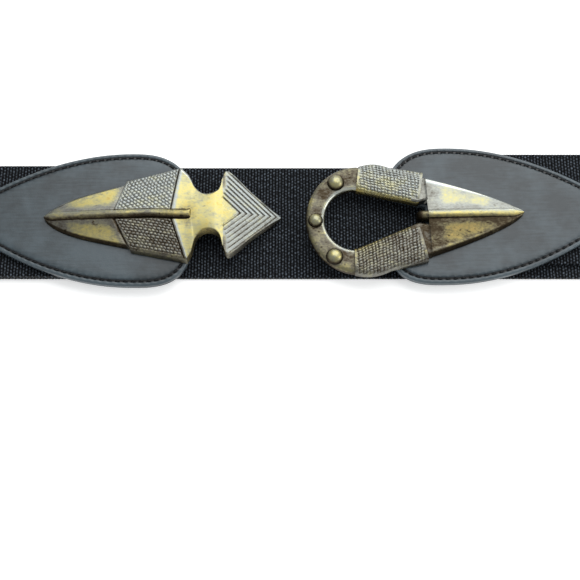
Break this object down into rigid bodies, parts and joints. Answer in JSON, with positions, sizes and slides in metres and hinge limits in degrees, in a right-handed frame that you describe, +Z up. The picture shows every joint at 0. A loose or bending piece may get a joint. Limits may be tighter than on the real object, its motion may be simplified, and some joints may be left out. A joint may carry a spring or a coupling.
{
  "type": "stretch belt",
  "caption": "Elastic webbing belt laid flat and unfastened, with stitched leather tabs at its ends, a cast arrow-shaped hook on one and a cast keeper loop with domed rivets on the other.",
  "frame": {"origin": "bottom centre of the box round the whole belt, on the surface that it lies on", "axes": "+X along the belt from the arrow hook's end to the keeper loop's end, +Y across the belt, +Z up through its layers"},
  "size_m": [0.372, 0.0622, 0.0138],
  "materials": {
    "elastic_webbing": "ribbed elastic weave, matt",
    "tab_leather": "smooth satin leather with a stitched edge",
    "tab_backing_leather": "plain matt leather",
    "antique_brass": "antiqued cast metal, worn bright on the high places",
    "stud_brass": "dull"
  },
  "bodies": {
    "root": {"elastic_webbing": "elastic_webbing", "left_tab_backing": "tab_backing_leather", "left_tab_front": "tab_leather", "arrow_hook": "antique_brass", "hook_stud_1": "stud_brass", "hook_stud_2": "stud_brass", "right_tab_backing": "tab_backing_leather", "right_tab_front": "tab_leather", "keeper_loop": "antique_brass", "loop_stud_1": "stud_brass", "loop_stud_2": "stud_brass"}
  },
  "joints": []
}
